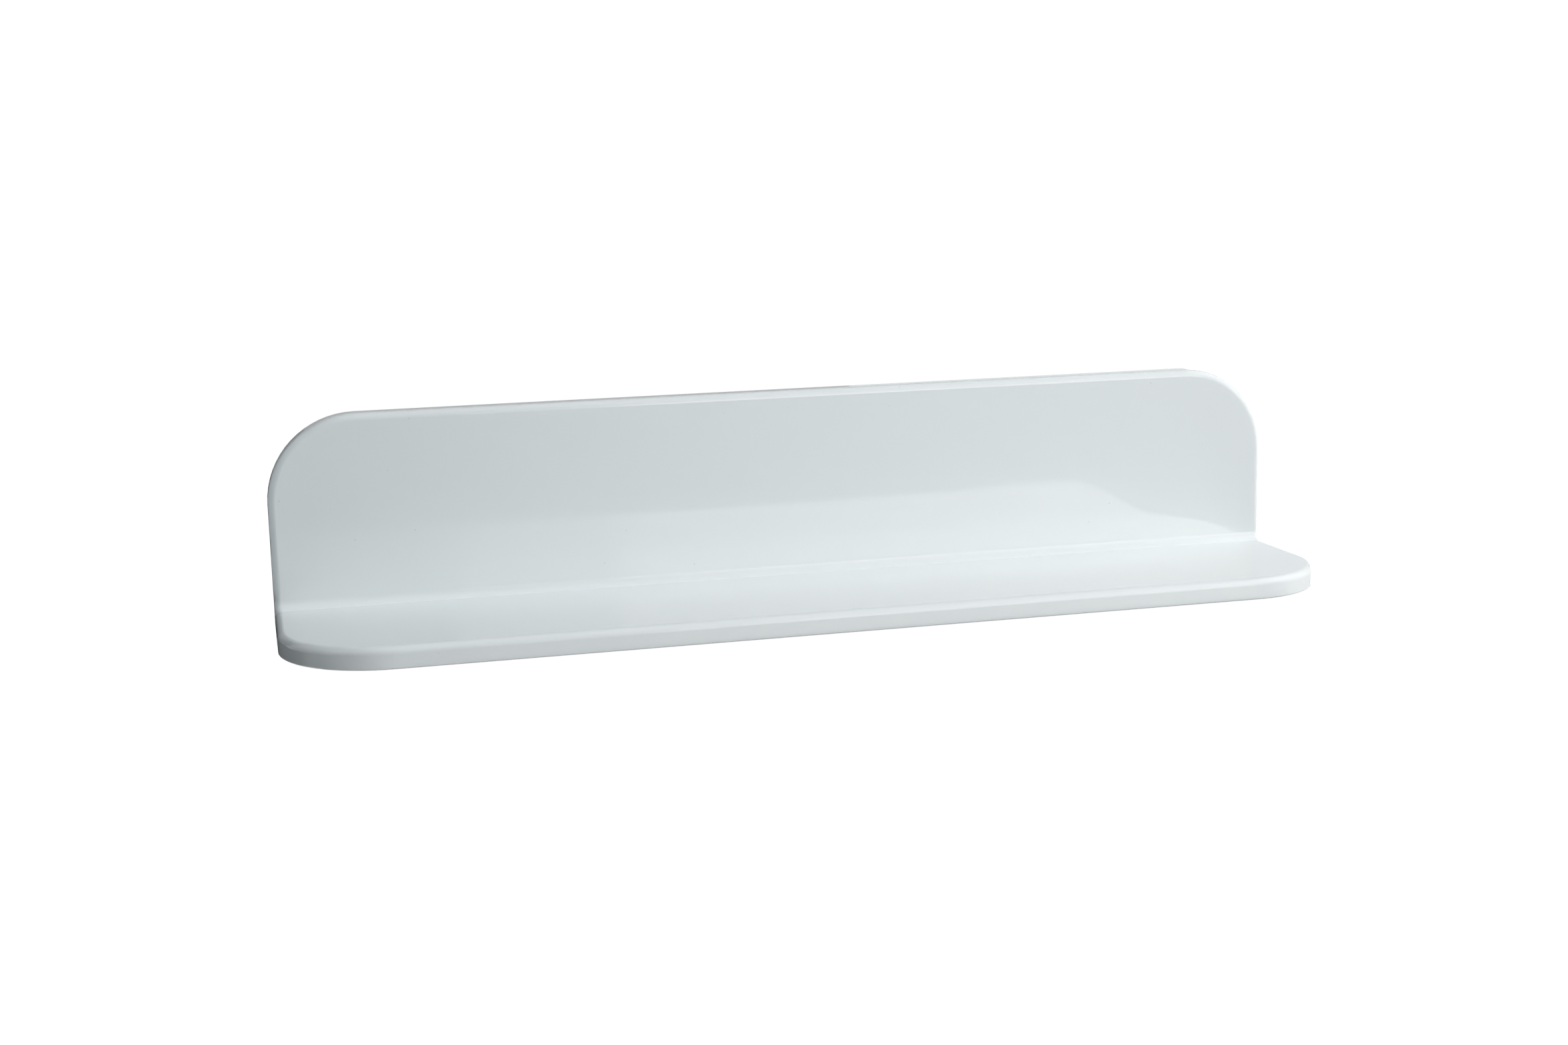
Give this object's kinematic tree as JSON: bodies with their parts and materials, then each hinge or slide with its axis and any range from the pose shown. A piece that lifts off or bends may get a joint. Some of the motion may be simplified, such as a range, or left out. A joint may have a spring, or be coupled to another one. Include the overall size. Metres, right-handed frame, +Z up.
{
  "type": "floating wall shelf",
  "caption": "White gloss floating wall shelf: a slim deck with rounded front corners meets a low round-cornered back panel in a small cove, and hangs on hidden clips.",
  "frame": {"origin": "on the wall plane, at mid length, on the line of the wall clips' screw holes", "axes": "+Z up, +X along the shelf to the right as seen from the room, +Y into the wall"},
  "size_m": [0.6, 0.125, 0.12],
  "materials": {
    "white_sheet": "acrylic solid surface, polished to a high gloss on the show faces, sanded behind",
    "clip_steel": "zinc-plated pressed sheet steel, satin",
    "screw_steel": "bright stainless steel",
    "insert_brass": "plain turned brass"
  },
  "bodies": {
    "wall_clips": {"wall_clip_left": "clip_steel", "wall_clip_right": "clip_steel"},
    "shelf": {"shelf_deck": "white_sheet", "cove_strip": "white_sheet", "back_panel": "white_sheet", "shelf_clip_left": "clip_steel", "shelf_clip_right": "clip_steel", "clip_screws": "screw_steel", "threaded_inserts": "insert_brass"}
  },
  "joints": [
    {"name": "lift_off", "type": "slide", "parent": "wall_clips", "child": "shelf", "axis": [0, 0, 1], "range_m": [0, 0.013]}
  ]
}
